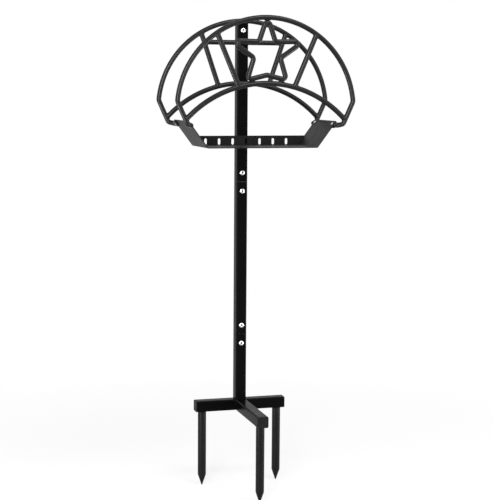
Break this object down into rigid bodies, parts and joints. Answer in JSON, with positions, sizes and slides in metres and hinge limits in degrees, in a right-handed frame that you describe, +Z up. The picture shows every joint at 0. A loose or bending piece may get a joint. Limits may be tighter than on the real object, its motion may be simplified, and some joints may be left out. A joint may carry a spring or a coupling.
{
  "type": "hose stand",
  "caption": "Free-standing garden hose stand: a bolted square post on a pronged base, carrying arched wire frames, a star and a sheet tray.",
  "frame": {"origin": "middle of the underside of the base crossbar, on the post's axis, which is where the soil's surface lies when the prongs are pushed in", "axes": "+Z up along the post, +X to the right seen from the front, -Y to the front, which is the side of the star and of the base's forward arm"},
  "size_m": [0.3958, 0.2241, 1.0593],
  "materials": {
    "tube_coat": "satin black powder coat",
    "rod_coat": "satin black powder coat",
    "sheet_coat": "satin black powder coat",
    "prong_coat": "satin black powder coat",
    "bright_zinc": "bright zinc plate",
    "dull_zinc": "dull zinc plate",
    "plastic": "matt black"
  },
  "bodies": {
    "root": {"base_crossbar": "tube_coat", "base_arm": "tube_coat", "crossbar_cap_left": "plastic", "crossbar_cap_right": "plastic", "arm_cap": "plastic", "prong_left": "prong_coat", "prong_right": "prong_coat", "prong_front": "prong_coat", "post_stub": "tube_coat", "post_middle_tube": "tube_coat", "post_head_tube": "tube_coat", "post_cap": "plastic", "lower_sleeve": "dull_zinc", "upper_sleeve": "dull_zinc", "post_bolt_1": "bright_zinc", "post_bolt_2": "bright_zinc", "post_bolt_3": "bright_zinc", "post_bolt_4": "bright_zinc", "post_bolt_5": "bright_zinc", "post_nut_1": "bright_zinc", "post_nut_2": "bright_zinc", "post_nut_3": "bright_zinc", "post_nut_4": "bright_zinc", "post_nut_5": "bright_zinc", "front_hoop": "rod_coat", "front_saddle": "rod_coat", "front_spoke_left": "rod_coat", "front_spoke_right": "rod_coat", "front_star": "rod_coat", "back_hoop": "rod_coat", "back_saddle": "rod_coat", "back_spoke_left": "rod_coat", "back_spoke_right": "rod_coat", "back_bar": "rod_coat", "tray": "sheet_coat", "tray_screw_front_left": "bright_zinc", "tray_screw_front_right": "bright_zinc", "tray_screw_back_left": "bright_zinc", "tray_screw_back_right": "bright_zinc"}
  },
  "joints": []
}
